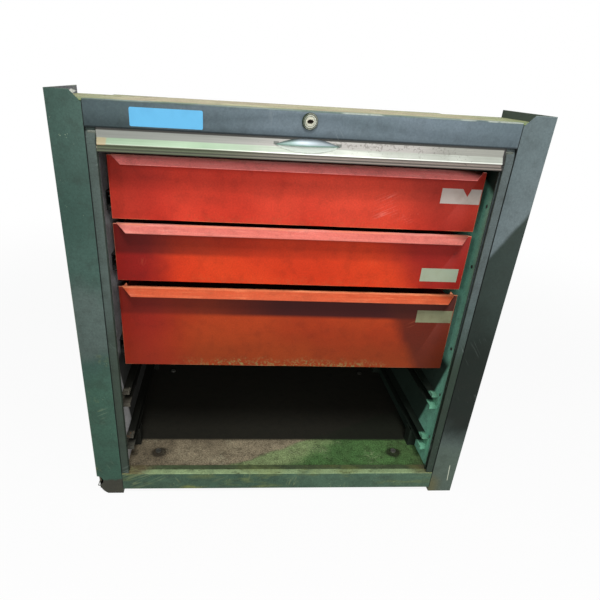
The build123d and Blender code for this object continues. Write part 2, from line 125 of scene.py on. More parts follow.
class Value:
    """A number that varies over a surface, with plain arithmetic on it.

    The sign | takes the larger of two masks.
    """

    __add__ = __radd__ = _operator("ADD")
    __sub__ = _operator("SUBTRACT")
    __rsub__ = _operator("SUBTRACT", flipped=True)
    __mul__ = __rmul__ = _operator("MULTIPLY")
    __pow__ = _operator("POWER")
    __abs__ = _operator("ABSOLUTE")
    __or__ = _operator("MAXIMUM")

    def __init__(self, nodes: Nodes, socket: bpy.types.NodeSocket) -> None:
        """Wraps an output socket of a tree."""
        self.nodes = nodes
        self.socket = socket

    def between(self, low: float, high: float) -> Value:
        """Rises smoothly from 0 at low to 1 at high, or falls where low is the larger.

        Args:
            low: The value that gives 0.
            high: The value that gives 1.

        Returns:
            The mask.
        """
        sockets = {"Value": self, "From Min": min(low, high), "From Max": max(low, high),
                   "To Min": float(low > high), "To Max": float(low <= high)}
        return self.nodes.add("ShaderNodeMapRange", {"interpolation_type": "SMOOTHSTEP"}, sockets)


class Nodes:
    """A node tree that is being filled."""

    def __init__(self, tree: bpy.types.NodeTree) -> None:
        """Takes the tree."""
        self.tree = tree

    def feed(self, target: bpy.types.NodeSocket, entry: Value | float | Sequence[float]) -> None:
        """Links an input to a value, or sets it.

        Args:
            target: The input.
            entry: What it gets.
        """
        if isinstance(entry, Value):
            self.tree.links.new(entry.socket, target)
        else:
            target.default_value = entry

    def add(self, kind: str, settings: Mapping[str, Any], sockets: Mapping[Any, Any],
            out: int | str = 0) -> Value:
        """Adds a node of any kind.

        Args:
            kind: The node's type.
            settings: Properties that are set first.
            sockets: Values or links for its inputs, by name or number.
            out: The output to hand back.

        Returns:
            The chosen output.
        """
        node = self.tree.nodes.new(kind)
        for name, setting in settings.items():
            setattr(node, name, setting)
        for name, entry in sockets.items():
            self.feed(node.inputs[name], entry)
        return Value(self, node.outputs[out])


class Shader(Nodes):
    """One material's node tree around a Principled surface."""

    def __init__(self, name: str) -> None:
        """Starts a material with the given name."""
        self.material = bpy.data.materials.new(name)
        self.material.use_nodes = True
        super().__init__(self.material.node_tree)
        self.place = self.add("ShaderNodeTexCoord", {}, {}, "Object")
        split = self.tree.nodes.new("ShaderNodeSeparateXYZ")
        self.feed(split.inputs[0], self.place)
        self.along = {axis: Value(self, split.outputs[axis.value]) for axis in Axis}
        self.x, self.y, self.z = self.along.values()

    def noise(self, scale: float | Sequence[float], detail: float = 3.0, turn: Sequence[float] = (0, 0, 0),
              shift: float = 0.0, rough: float = 0.5) -> Value:
        """A cloudy value from 0 to 1.

        Args:
            scale: Repeats per metre, one number or one for each axis.
            detail: How many finer layers lie on it.
            turn: The turn of its axes, in degrees.
            shift: An offset that picks another part of the pattern.
            rough: How strong the finer layers are.

        Returns:
            The noise.
        """
        steps = (scale,) * 3 if isinstance(scale, (int, float)) else tuple(scale)
        turned = self.add("ShaderNodeVectorRotate", {"rotation_type": "EULER_XYZ"},
                          {"Vector": self.place, "Rotation": [math.radians(angle) for angle in turn]})
        stretched = self.add("ShaderNodeVectorMath", {"operation": "MULTIPLY"}, {0: turned, 1: steps})
        moved = self.add("ShaderNodeVectorMath", {"operation": "ADD"},
                         {0: stretched, 1: (shift, shift * 0.7, shift * 1.3)})
        return self.add("ShaderNodeTexNoise", {"noise_dimensions": "3D"},
                        {"Vector": moved, "Scale": 1.0, "Detail": detail, "Roughness": rough})

    def mix(self, share: Value | float, first: Value | RGB, second: Value | RGB) -> Value:
        """A blend of two colours.

        Args:
            share: How much of the second colour shows, from 0 to 1.
            first: The colour at 0.
            second: The colour at 1.

        Returns:
            The blended colour.
        """
        ends = [end if isinstance(end, Value) else linear(end) for end in (first, second)]
        return self.add("ShaderNodeMix", {"data_type": "RGBA", "clamp_factor": True},
                        {0: share, 6: ends[0], 7: ends[1]}, 2)

    def scaled(self, colour: Value, factor: Value | float) -> Value:
        """A colour made lighter or darker by a factor.

        Args:
            colour: The colour.
            factor: What it is multiplied by.

        Returns:
            The colour.
        """
        return self.add("ShaderNodeVectorMath", {"operation": "SCALE"}, {0: colour, "Scale": factor})

    def coated(self, colour: Value, tint: Tint | None) -> Value:
        """A colour under a tint's coats.

        Args:
            colour: The colour.
            tint: What gives the coats, from the lowest up.

        Returns:
            The colour.
        """
        for share, coat in tint(self) if tint else ():
            colour = self.mix(share, colour, coat(colour) if callable(coat) else coat)
        return colour

    def near(self, axis: Axis, where: float, reach: float) -> Value:
        """A mask that is 1 on a plane and fades out at a distance.

        Args:
            axis: The axis square to the plane.
            where: The plane's place, in metres.
            reach: The distance at which the mask ends, in metres.

        Returns:
            The mask.
        """
        return abs(self.along[axis] - where).between(reach, 0.0)

    def scratches(self, turn: Sequence[float], fineness: float, share: float, shift: float) -> Value:
        """Thin straight marks that break off here and there.

        Args:
            turn: The turn of their direction from X, in degrees.
            fineness: How many could lie side by side in a metre.
            share: How much of the surface may bear them, from 0 to 1.
            shift: An offset that picks another set.

        Returns:
            The mask.
        """
        grain = self.noise((9.0, fineness, fineness), 1.0, turn, shift)
        line = abs(grain - 0.5).between(0.045, 0.012)
        bare = 0.74 - 0.3 * share
        return line * self.noise(14.0, 2.0, shift=shift + 5.0).between(bare, bare + 0.1)

    def chips(self, scale: float, share: float, shift: float = 0.0) -> Value:
        """Small sharp-edged spots where a coat has come off.

        Args:
            scale: Spots per metre.
            share: How common they are, from 0 to 1.
            shift: An offset that picks another set.

        Returns:
            The mask.
        """
        spot = self.noise(scale, 5.0, shift=shift, rough=0.62)
        where = self.noise(scale * 0.11, 2.0, shift=shift + 3.0)
        edge = 0.80 - 0.22 * share
        return (spot * 0.72 + where * 0.36).between(edge, edge + 0.012)

    def relief(self, height: Value, depth: float) -> Value:
        """Turns a height into a bent normal.

        Args:
            height: The height, from 0 to 1.
            depth: The depth that 1 stands for, in metres.

        Returns:
            The normal.
        """
        return self.add("ShaderNodeBump", {}, {"Strength": 1.0, "Distance": depth, "Height": height})

    def finish(self, **sockets: Value | float) -> None:
        """Feeds the surface.

        Args:
            sockets: The surface's inputs, by name with underscores for spaces.
        """
        surface = self.tree.nodes["Principled BSDF"]
        for name, entry in sockets.items():
            self.feed(surface.inputs[name.replace("_", " ")], entry)


# How much of a coat shows, and its colour or what it makes of the colour below it
Coats = Iterator[tuple[Value, "RGB | Value | Callable[[Value], Value]"]]
Tint = Callable[[Shader], Coats]


# Finishes

# The turn, fineness and pattern of each set of scratches in the enamel
SCRATCHES = (((0, 24, 0), 130.0, 1.0), ((0, -58, 0), 150.0, 7.0), ((0, 82, 12), 140.0, 11.0))


@dataclass(frozen=True)
class Edge:
    """A fold or cut edge where the paint has rubbed off here and there."""

    axis: Axis
    where: float
    reach: float
    strength: float


@dataclass(frozen=True)
class Seam:
    """An upright joint between two sheets, where dirt has settled in a thin line."""

    across: float
    low: float
    high: float
    reach: float = 0.0011


@dataclass(frozen=True)
class Finish:
    """A material that can be put on pieces."""

    name: str

    def lay(self, shader: Shader) -> None:
        """Feeds the surface.

        Args:
            shader: The material's shader.
        """
        raise NotImplementedError

    def put_on(self, *names: str) -> None:
        """Builds the material and gives it to pieces.

        Args:
            names: The pieces' names.
        """
        shader = Shader(self.name)
        self.lay(shader)
        for name in names:
            piece = bpy.data.objects[name]
            if not piece.material_slots:
                piece.data.materials.append(shader.material)
            for slot in piece.material_slots:
                slot.material = shader.material


@dataclass(frozen=True)
class Enamel(Finish):
    """Old satin enamel: softly mottled, flecked, scratched, rubbed along its edges, dirty in its seams."""

    paint: RGB
    faded: RGB
    grime: RGB = (40, 42, 36)
    bared: RGB = (168, 172, 150)
    rust: RGB = (96, 62, 40)
    seam_dirt: RGB = (14, 18, 16)
    soil: float = 0.3
    wear: float = 0.3
    rusting: float = 0.1
    gloss: float = 0.46
    specular: float = 0.2
    speckle: float = 0.3
    depth: float = 0.00009
    edges: tuple[Edge, ...] = ()
    seams: tuple[Seam, ...] = ()
    tint: Tint | None = None
    shade: Tint | None = None

    def lay(self, shader: Shader) -> None:
        """Feeds the surface.

        Args:
            shader: The material's shader.
        """
        cloud = shader.noise(6.0, 4.0)
        mottle = shader.noise(55.0, 4.0, shift=2.0, rough=0.6)
        fleck = shader.noise(400.0, 4.0, shift=6.0, rough=0.72)
        smear = shader.noise((7.0, 7.0, 30.0), 4.0, shift=4.0)
        colour = shader.coated(shader.mix(cloud.between(0.36, 0.66), self.paint, self.faded), self.tint)
        flecks = (fleck - 0.5) * (self.speckle * 4.0) + (mottle - 0.5) * self.speckle
        colour = shader.scaled(colour, flecks + 1.0)
        dirt = (smear.between(0.46, 0.74) * 0.45 + mottle.between(0.52, 0.30) * 0.5) * self.soil
        colour = shader.mix(dirt, colour, self.grime)
        marks = [shader.scratches(turn, fineness, self.wear, shift) for turn, fineness, shift in SCRATCHES]
        colour = shader.mix((marks[0] | marks[1] | marks[2]) * 0.22, colour, self.bared)
        spots = shader.chips(300.0, self.wear, 3.0) | shader.chips(120.0, self.wear * 0.55, 8.0)
        rust_spots = shader.chips(140.0, self.rusting, 15.0)
        worn = self._worn_edges(shader)
        colour = shader.mix(spots * 0.5, colour, self.bared)
        colour = shader.mix(rust_spots * 0.8, colour, self.rust)
        colour = shader.mix(worn * 0.8, colour, self.bared)
        colour = shader.mix(self._dirty_seams(shader), colour, self.seam_dirt)
        colour = shader.coated(colour, self.shade)
        gone = spots | rust_spots | worn
        roughness = self.gloss + cloud * 0.08 + mottle * 0.08 + dirt * 0.3 + gone * 0.1
        height = mottle * 0.3 + fleck * 0.3 - gone
        shader.finish(Base_Color=colour, Roughness=roughness, Metallic=worn * 0.2,
                      Specular_IOR_Level=self.specular, Normal=shader.relief(height, self.depth))

    def _worn_edges(self, shader: Shader) -> Value:
        """The broken line of rubbed paint along the edges.

        Args:
            shader: The shader that the mask is for.

        Returns:
            The mask.
        """
        ragged = shader.noise(70.0, 5.0, shift=21.0, rough=0.7)
        here = shader.noise(13.0, 2.0, shift=25.0).between(0.42, 0.62)
        mask = ragged * 0.0
        for edge in self.edges:
            band = shader.near(edge.axis, edge.where, edge.reach * 2.0)
            mask = mask | ((band + ragged * 0.8 - 0.9).between(0.0, 0.12) * here * edge.strength)
        return mask

    def _dirty_seams(self, shader: Shader) -> Value:
        """The thin dark lines along the joints.

        Args:
            shader: The shader that the mask is for.

        Returns:
            The mask.
        """
        fade = 0.001
        waver = shader.noise(24.0, 3.0, shift=27.0)
        mask = waver * 0.0
        for seam in self.seams:
            line = shader.near(Axis.X, seam.across, seam.reach) * (waver * 0.5 + 0.7)
            line = line * shader.z.between(seam.low, seam.low + fade)
            line = line * shader.z.between(seam.high + fade, seam.high)
            mask = mask | line.between(0.1, 0.75)
        return mask * 0.9


@dataclass(frozen=True)
class BareMetal(Finish):
    """Uncoated or plated metal with a rubbed grain, dull patches and small pits."""

    shine: RGB
    dull: RGB
    roughness: float = 0.3
    grain: Axis = Axis.X
    pits: float = 0.2
    stain: RGB = (110, 84, 60)
    staining: float = 0.15
    metallic: float = 1.0
    pit: RGB = (64, 60, 54)
    depth: float = 0.00006
    tint: Tint | None = None

    def lay(self, shader: Shader) -> None:
        """Feeds the surface.

        Args:
            shader: The material's shader.
        """
        scale = [900.0, 900.0, 900.0]
        scale[self.grain.value] = 7.0
        grain = shader.noise(scale, 2.0)
        cloud = shader.noise(16.0, 4.0, shift=6.0)
        pits = shader.chips(330.0, self.pits, 5.0)
        stain = shader.chips(60.0, self.staining, 12.0)
        colour = shader.mix(cloud.between(0.35, 0.7), self.shine, self.dull)
        colour = shader.mix(grain.between(0.4, 0.65) * 0.25, colour, self.dull)
        colour = shader.coated(colour, self.tint)
        colour = shader.mix(pits * 0.7, colour, self.pit)
        colour = shader.mix(stain * 0.6, colour, self.stain)
        roughness = self.roughness + cloud * 0.16 + grain * 0.08 + (pits | stain) * 0.3
        shader.finish(Base_Color=colour, Roughness=roughness, Metallic=self.metallic - (stain | pits) * 0.5,
                      Normal=shader.relief(grain * 0.4 - pits, self.depth))


@dataclass(frozen=True)
class Paper(Finish):
    """A stuck-on label, bare of print, with a little soiling and a fibrous surface."""

    sheet: RGB
    soiled: RGB
    soil: float = 0.4
    roughness: float = 0.7
    speck: RGB = (70, 62, 54)
    depth: float = 0.00005

    def lay(self, shader: Shader) -> None:
        """Feeds the surface.

        Args:
            shader: The material's shader.
        """
        fibre = shader.noise((900.0, 900.0, 380.0), 3.0)
        smudge = shader.noise(52.0, 5.0, shift=4.0)
        colour = shader.mix(smudge.between(0.42, 0.72) * self.soil, self.sheet, self.soiled)
        colour = shader.mix(fibre.between(0.5, 0.8) * 0.12, colour, self.soiled)
        colour = shader.mix(shader.chips(300.0, 0.18 * self.soil, 9.0) * 0.7, colour, self.speck)
        shader.finish(Base_Color=colour, Roughness=self.roughness + smudge * 0.12,
                      Normal=shader.relief(fibre, self.depth))


@dataclass(frozen=True)
class Nylon(Finish):
    """Moulded nylon, yellowed and scuffed."""

    light: RGB = (196, 190, 170)
    yellowed: RGB = (150, 142, 120)
    depth: float = 0.00004

    def lay(self, shader: Shader) -> None:
        """Feeds the surface.

        Args:
            shader: The material's shader.
        """
        cloud = shader.noise(60.0, 3.0)
        colour = shader.mix(cloud, self.light, self.yellowed)
        shader.finish(Base_Color=colour, Roughness=0.5 + cloud * 0.2,
                      Normal=shader.relief(shader.noise(700.0, 2.0), self.depth))


# Mesh help

def add_object(name: str, data: Any) -> bpy.types.Object:
    """Adds an object to the scene.

    Args:
        name: Its name.
        data: Its mesh, lamp or camera.

    Returns:
        The object.
    """
    added = bpy.data.objects.new(name, data)
    bpy.context.scene.collection.objects.link(added)
    return added


@contextmanager
def edited(mesh: bpy.types.Mesh) -> Iterator[bmesh.types.BMesh]:
    """Opens a mesh for changes and writes them back.

    Args:
        mesh: The mesh to change.

    Yields:
        Its editable form.
    """
    form = bmesh.new()
    form.from_mesh(mesh)
    yield form
    form.to_mesh(mesh)
    form.free()


@dataclass(frozen=True)
class Softening:
    """Rounds the folds and cut edges of a packed sheet-metal piece."""

    fold: float = 0.0011
    cut: float = 0.0003
    sheet: float = 0.0012
    segments: int = 3
    flat_degrees: float = 0.5
    fold_degrees: float = 25.0

    def copy(self, node: str, name: str, body: str, ripple: float = 0.0) -> bpy.types.Object:
        """Makes a softened piece that stands for a packed one.

        Args:
            node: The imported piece.
            name: The new piece's name.
            body: The body that it rides on.
            ripple: How far its free edges wander, in metres.

        Returns:
            The new piece.
        """
        packed = bpy.data.objects[node]
        mesh = packed.data.copy()
        mesh.name = name
        self._weigh(mesh)
        if ripple:
            self._wander(mesh, ripple)
        mesh.shade_smooth()
        piece = add_object(name, mesh)
        bevel = piece.modifiers.new("rounded folds", "BEVEL")
        bevel.width = self.fold
        bevel.segments = self.segments
        bevel.limit_method = "WEIGHT"
        bevel.use_clamp_overlap = True
        bevel.harden_normals = True
        bake_modifiers(piece)
        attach(piece, body)
        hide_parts(node)
        LOG.info("softened %s", name)
        return piece

    def _weigh(self, mesh: bpy.types.Mesh) -> None:
        """Joins flat facets and weighs each edge by how far it is rounded.

        Args:
            mesh: The mesh to change.
        """
        with edited(mesh) as form:
            bmesh.ops.remove_doubles(form, verts=form.verts, dist=0.00001)
            bmesh.ops.dissolve_limit(form, angle_limit=math.radians(self.flat_degrees), verts=form.verts,
                                     edges=form.edges)
            layers = form.edges.layers.float
            weight = layers.get("bevel_weight_edge") or layers.new("bevel_weight_edge")
            for edge in form.edges:
                if len(edge.link_faces) != 2 or edge.calc_face_angle(0.0) < math.radians(self.fold_degrees):
                    continue
                widths = [face.calc_area() / edge.calc_length() for face in edge.link_faces]
                if min(widths) < 2.5 * self.sheet:
                    radius = self.cut
                else:
                    radius = self.fold if edge.is_convex else max(self.fold - self.sheet, self.cut)
                edge[weight] = radius / self.fold

    def _wander(self, mesh: bpy.types.Mesh, ripple: float) -> None:
        """Lets a long piece wander a little along its length.

        Args:
            mesh: The mesh to change.
            ripple: The greatest shift, in metres.
        """
        step = 0.03
        with edited(mesh) as form:
            low = min(vert.co.x for vert in form.verts)
            high = max(vert.co.x for vert in form.verts)
            for number in range(1, int((high - low) / step)):
                parts = [*form.verts, *form.edges, *form.faces]
                cut = (low + number * step, 0, 0)
                bmesh.ops.bisect_plane(form, geom=parts, plane_co=cut, plane_no=(1, 0, 0))
            for vert in form.verts:
                swing = math.sin(vert.co.x * 23.0 + 1.0) + 0.6 * math.sin(vert.co.x * 61.0)
                vert.co.y += ripple * swing * 0.5


def bake_modifiers(piece: bpy.types.Object) -> None:
    """Turns a piece's modifiers into plain mesh.

    Args:
        piece: The piece.
    """
    shape = piece.evaluated_get(bpy.context.evaluated_depsgraph_get())
    mesh = bpy.data.meshes.new_from_object(shape)
    old = piece.data
    piece.modifiers.clear()
    piece.data = mesh
    bpy.data.meshes.remove(old)


# Sub-assemblies

@dataclass
class Casing:
    """The green sheet-metal casing and everything fixed inside it."""

    front: float = -0.22175
    half: float = 0.330
    seam: float = 0.286
    strip: float = 0.2735
    header_top: float = 0.642
    header_bottom: float = 0.610
    rim: float = 0.6515
    sill_top: float = 0.0447
    sill_bottom: float = 0.0096
    bolt_across: float = 0.229
    bolt_depth: float = 0.0665
    floor_shade: float = 0.106
    slate_height: float = 0.335
    glint_depth: float = 0.125
    shadow_slant: float = 1.62
    scratch_across: float = 0.3202
    soft: Softening = field(default_factory=Softening)

    def build(self) -> None:
        """Softens the folded sheets and dresses the casing."""
        for node in ("side_panel_left", "side_panel_right", "header", "front_sill", "track_left",
                     "track_right"):
            self.soft.copy(node, f"{node}_worn", Body.CABINET.value)
        self._dress_outside()
        self._dress_top()
        self._dress_inside()

    def _dress_outside(self) -> None:
        """Dresses the flanges, sides, header, sill and strips."""
        joint = tuple(Seam(side * self.seam, self.sill_bottom, self.header_top) for side in (1, -1))
        rubbed = (Edge(Axis.X, self.half, 0.0009, 0.4), Edge(Axis.X, -self.half, 0.0009, 0.4),
                  Edge(Axis.Z, self.rim, 0.0009, 0.6))
        Enamel("flange_enamel_left", (47, 71, 63), (58, 82, 74), bared=(150, 166, 140), soil=0.34, wear=0.34,
               speckle=0.26, edges=rubbed, seams=joint, tint=self._flange_left).put_on("side_panel_left_worn")
        Enamel("flange_enamel_right", (92, 105, 107), (100, 112, 114), bared=(150, 162, 156), soil=0.26,
               wear=0.2, speckle=0.22, edges=rubbed, seams=joint,
               tint=self._flange_right).put_on("side_panel_right_worn")
        Enamel("header_enamel", (94, 108, 114), (102, 115, 123), bared=(170, 180, 176), soil=0.24, wear=0.3,
               speckle=0.18, edges=(Edge(Axis.Z, self.header_top, 0.0010, 0.5),), tint=self._header,
               seams=joint).put_on("header_worn")
        Enamel("sill_enamel", (60, 84, 68), (74, 98, 80), bared=(160, 170, 120), soil=0.4, wear=0.5,
               speckle=0.4, seams=joint, tint=self._sill).put_on("front_sill_worn")
        strip = Enamel("strip_enamel", (70, 84, 82), (82, 96, 94), bared=(150, 164, 158), soil=0.4, wear=0.4,
                       seams=joint, tint=self._strip)
        strip.put_on("track_left_worn", "track_right_worn", "roof_track_left", "roof_track_right")

    def _dress_top(self) -> None:
        """Dresses the deck and the back."""
        Enamel("deck_enamel", (184, 184, 140), (208, 204, 168), grime=(84, 76, 52), bared=(206, 200, 176),
               soil=0.4, wear=0.5, rusting=0.5, rust=(118, 84, 56), gloss=0.5, speckle=0.4,
               tint=self._deck).put_on("top_deck")
        Enamel("back_enamel", (56, 78, 70), (68, 90, 82), soil=0.4, wear=0.35,
               shade=self._back_shade).put_on("back_panel")

    def _dress_inside(self) -> None:
        """Dresses the inner walls, rails, floor and their fixings."""
        Enamel("inner_enamel_right", (130, 204, 176), (146, 216, 190), bared=(150, 200, 170),
               shade=self._wall_shade).put_on("liner_right")
        Enamel("inner_enamel_left", (212, 212, 214), (222, 222, 224), soil=0.4,
               shade=self._wall_shade).put_on("liner_left")
        Enamel("floor_enamel", (54, 88, 48), (78, 112, 64), grime=(44, 38, 30), bared=(206, 206, 172),
               soil=0.5, wear=0.4, rusting=0.3, gloss=0.6, speckle=1.0, tint=self._floor,
               shade=self._floor_shade).put_on("floor_pan")
        green = Enamel("rail_enamel", (104, 166, 138), (118, 180, 150), soil=0.5, wear=0.4,
                       shade=self._rail_shade)
        green.put_on("post_right", "rail_1_right", "rail_2_right", "rail_3_right", "spare_rails_right")
        grey = Enamel("rail_enamel_left", (190, 190, 192), (204, 204, 206), soil=0.5, wear=0.4,
                      shade=self._rail_shade)
        grey.put_on("rail_1_left", "rail_2_left", "rail_3_left")
        # The left post and spare rails are painted dark grey-brown: partly rust crust, partly painted shade.
        crusted_and_shaded = Enamel("crusted_enamel", (70, 72, 66), (88, 84, 74), rust=(146, 96, 48), soil=0.5, wear=0.4,
                         rusting=0.7, shade=self._rail_shade)
        crusted_and_shaded.put_on("post_left", "spare_rails_left")
        steel = BareMetal("dulled_steel", (150, 150, 142), (48, 46, 40), 0.22, pits=0.9, stain=(22, 20, 16),
                          staining=0.9, metallic=0.8)
        steel.put_on("floor_bolts", "floor_nuts", "rail_rivets")
        # The back screws are painted near black as painted shade, so they vanish inside the bay.
        BareMetal("shade_darkened_steel", (30, 31, 26), (22, 23, 19), 0.6).put_on("back_screws")

    def _flange_left(self, shader: Shader) -> Coats:
        """The left flange has a slate patch, yellow stains, a greener foot and brown steel at its corner, and
        a white painted glint on its rim's end.
        """
        across, height = shader.x, shader.z
        drift = shader.noise(14.0, 4.0, shift=29.0) - 0.5
        yield (height + drift * 0.2).between(0.27, 0.2) * 0.4, (58, 92, 72)
        slate = abs(height - self.slate_height + drift * 0.1).between(0.075, 0.03)
        face = shader.y.between(self.front + 0.006, self.front + 0.002)
        yield slate * (face * 0.6 + 0.15), (82, 94, 90)
        stain = shader.noise(34.0, 5.0, shift=30.0, rough=0.65).between(0.60, 0.72)
        yield stain * height.between(0.34, 0.2) * face * 0.5, (124, 132, 86)
        yield self._rim(shader, -1), (98, 92, 100)
        # Painted glint: a white highlight on the rim's end where it meets the deck.
        spot = abs(across + self.half) * 3.0 + abs(height - self.header_top - 0.002)
        spot = spot + abs(shader.y - self.front - self.glint_depth) * 0.12 + drift * 0.004
        yield spot.between(0.008, 0.006), (236, 238, 232)
        ragged = height + shader.noise(60.0, 3.0, shift=31.0) * 0.012 - 0.006
        yield ragged.between(0.034, 0.030) * 0.94, (58, 56, 48)

    def _flange_right(self, shader: Shader) -> Coats:
        """The right flange has a painted shadow that darkens it below a diagonal line, is olive at its foot,
        has a long scratch, and has painted shade on its rim's inner face.
        """
        across, height = shader.x, shader.z
        drift = shader.noise(18.0, 4.0, shift=32.0) - 0.5
        # Painted shadow: everything below the diagonal line is darkened, more so further down.
        shadow_slant = (height - across * self.shadow_slant + drift * 0.014).between(0.0, -0.014)
        lifted = (height + drift * 0.08).between(0.17, 0.07)
        deeper = (height + drift * 0.1).between(0.42, 0.28)
        dark = shader.mix(deeper, (40, 51, 46), (8, 18, 10))
        yield shadow_slant * (1 - lifted) * 0.98, dark
        yield lifted * 0.8, (76, 90, 76)
        # Painted shade on the rim's inner face.
        yield self._rim(shader, 1), (56, 80, 56)
        olive = (height + drift * 0.06).between(0.06, 0.02) * across.between(0.314, 0.29)
        yield olive * 0.7, (100, 96, 62)
        line = abs(across + height * 0.066 - self.scratch_across).between(0.0010, 0.0003)
        ends = height.between(0.024, 0.028) * height.between(0.064, 0.060)
        yield line * ends, (200, 206, 186)

    def _strip(self, shader: Shader) -> Coats:
        """The strips beside the opening darken downwards and are olive on their cut edges."""
        across, height = shader.x, shader.z
        drift = shader.noise((16.0, 16.0, 9.0), 4.0, shift=33.0) - 0.5
        right = across.between(-0.05, 0.05)
        yield right * (height + drift * 0.1).between(0.34, 0.42), (82, 92, 92)
        yield (height + drift * 0.12).between(0.36, 0.26) * 0.85, (32, 46, 31)
        yield (1 - right) * 0.5, (62, 72, 64)
        lip = abs(across).between(self.strip + 0.0012, self.strip + 0.0004)
        yield lip * 0.8, (40, 48, 38)

    def _rim(self, shader: Shader, side: int) -> Value:
        """A mask for the inner face of the rim at the top of a side panel.

        Args:
            shader: The shader.
            side: 1 for the right panel and -1 for the left one.

        Returns:
            The mask.
        """
        skin = shader.x.between(side * (self.half - 0.0016), side * (self.half - 0.0010))
        raised = shader.z.between(self.header_top - 0.002, self.header_top - 0.001)
        behind = shader.y.between(self.front + 0.0014, self.front + 0.003)
        return raised * behind * skin * 0.9

    def _header(self, shader: Shader) -> Coats:
        """The header is greener at its left end, with painted shade along its lower hem, a pale painted
        highlight along its top fold and white painted glints on the fold.
        """
        across = shader.x + (shader.noise(9.0, 3.0, shift=34.0) - 0.5) * 0.2
        yield across.between(-0.12, -0.26) * 0.7, (80, 98, 98)
        # Painted shade along the hem at the header's foot.
        foot = shader.z.between(self.header_bottom + 0.0024, self.header_bottom + 0.0010)
        yield foot * 0.75, (32, 36, 38)
        # Painted highlight along the rounded top fold.
        fold = shader.z.between(self.header_top - 0.0016, self.header_top - 0.0008)
        patch = shader.noise(30.0, 4.0, shift=36.0)
        yield fold * (patch.between(0.3, 0.5) * 0.4 + 0.2), (98, 118, 98)
        # White painted glints on the fold, partly rubbed paint.
        middle = abs(shader.x - 0.068).between(0.030, 0.022)
        glints = (middle | shader.x.between(0.195, 0.205)) * patch.between(0.40, 0.46)
        yield fold * glints * 0.5, (206, 212, 200)

    def _sill(self, shader: Shader) -> Coats:
        """The sill's ledge is rubbed to a yellow-green first coat, and brown with dirt at its ends."""
        across, height = shader.x, shader.z
        ledge = height.between(self.sill_top - 0.0016, self.sill_top - 0.0004)
        patch = shader.noise(22.0, 5.0, shift=35.0).between(0.22, 0.48)
        yield ledge * (patch * 0.7 + 0.2), (150, 172, 126)
        blots = shader.noise((60.0, 120.0, 60.0), 5.0, shift=37.0, rough=0.75)
        yield ledge * blots.between(0.54, 0.66) * 0.8, (74, 80, 50)
        back = shader.y.between(self.front + 0.0105, self.front + 0.0125)
        yield ledge * back * 0.85, (48, 58, 40)
        brown = (across + (shader.noise(26.0, 4.0, shift=39.0) - 0.5) * 0.08).between(-0.215, -0.25)
        yield ledge * (brown | across.between(0.235, 0.265) * 0.6) * 0.9, (98, 84, 64)
        streak = shader.noise((14.0, 14.0, 60.0), 5.0, shift=38.0, rough=0.65).between(0.52, 0.70)
        lower = height.between(self.sill_bottom + 0.022, self.sill_bottom)
        stain = streak * lower * abs(across + 0.12).between(0.14, 0.04)
        yield stain * 0.8 | streak * 0.3, (126, 134, 70)

    def _deck(self, shader: Shader) -> Coats:
        """The deck is olive behind the header and worn to tan further back, with brown bits."""
        across, depth = shader.x, shader.y
        drift = (shader.noise(20.0, 5.0, shift=41.0, rough=0.65) - 0.5) * 0.06
        kept = (depth + drift).between(self.front + 0.066, self.front + 0.040)
        yield kept * 0.8, (108, 128, 84)
        tan = shader.noise(12.0, 5.0, shift=43.0).between(0.4, 0.6) * (1 - kept)
        yield tan * 0.7, (182, 166, 138)
        ends = abs(across).between(0.22, 0.30)
        yield ends * 0.6, (118, 138, 84)
        bits = shader.noise(90.0, 6.0, shift=44.0, rough=0.75)
        rubble = bits.between(0.52, 0.60) * depth.between(self.front + 0.09, self.front + 0.12)
        here = abs(across + 0.252).between(0.045, 0.030) | (bits.between(0.60, 0.64) * 0.7)
        yield rubble * here * 0.9, (88, 66, 48)

    def _back_shade(self, shader: Shader) -> Coats:
        """The back panel's inner face is painted nearly black, a painted shade for the inside of the bay."""
        inner = shader.y.between(-self.front + 0.0047, -self.front + 0.0043)
        # Painted shade on the inner face.
        yield inner * 0.97, (54, 56, 45)

    def _wall_shade(self, shader: Shader) -> Coats:
        """The inner walls are painted nearly black further in, and the right one also above the drawers:
        painted shade for the inside.
        """
        depth, height = shader.y, shader.z
        reach = height * 0.42 + depth
        low = reach.between(-0.088, -0.078) * height.between(0.27, 0.25)
        high = (height * 0.8 - depth * 0.3).between(0.490, 0.500) * shader.x.between(-0.01, 0.01)
        inside = depth.between(self.front + 0.10, self.front + 0.16)
        # Painted shade beyond the lit front part of the walls.
        yield (low | high | inside) * 0.96, (27, 28, 24)

    def _rail_shade(self, shader: Shader) -> Coats:
        """The rails are painted nearly black behind their front ends: painted shade for the inside."""
        inside = shader.y.between(self.front + 0.052, self.front + 0.062)
        # Painted shade behind the front ends.
        yield inside * 0.98, (22, 23, 19)

    def _floor(self, shader: Shader) -> Coats:
        """The floor is brown at the left and green at the right with a pale band between, and has painted
        shade round the bolts.
        """
        across, depth = shader.x, shader.y - self.front
        drift = (shader.noise(26.0, 5.0, shift=48.0) - 0.5) * 0.07
        brown = (across + 0.152 - depth * 2.0 + drift).between(0.012, -0.012)
        pale = (across - depth + drift * 1.4).between(0.03, -0.04) * (1 - brown)
        yield pale * 0.85, (134, 150, 104)
        yield brown * 0.94, (140, 128, 106)
        sooty = shader.noise(7.0, 4.0, shift=50.0).between(0.5, 0.66) * 0.4
        yield sooty, (70, 58, 46)
        # Painted shade: a dark ragged patch round each bolt stands for the dark recess it sits in.
        blotch = shader.noise(40.0, 4.0, shift=52.0) * 0.012
        bolt = ((abs(across) - self.bolt_across) ** 2.0 + (depth - self.bolt_depth) ** 2.0) ** 0.5
        yield (bolt + blotch).between(0.025, 0.017) * 0.85, (30, 26, 20)

    def _floor_shade(self, shader: Shader) -> Coats:
        """The floor is painted nearly black further in: painted shade for the inside of the bay."""
        lit = self.front + self.floor_shade
        inner = shader.y.between(lit - 0.004, lit + 0.006)
        # Painted shade beyond the lit front strip.
        yield inner * 0.98, (27, 27, 22)


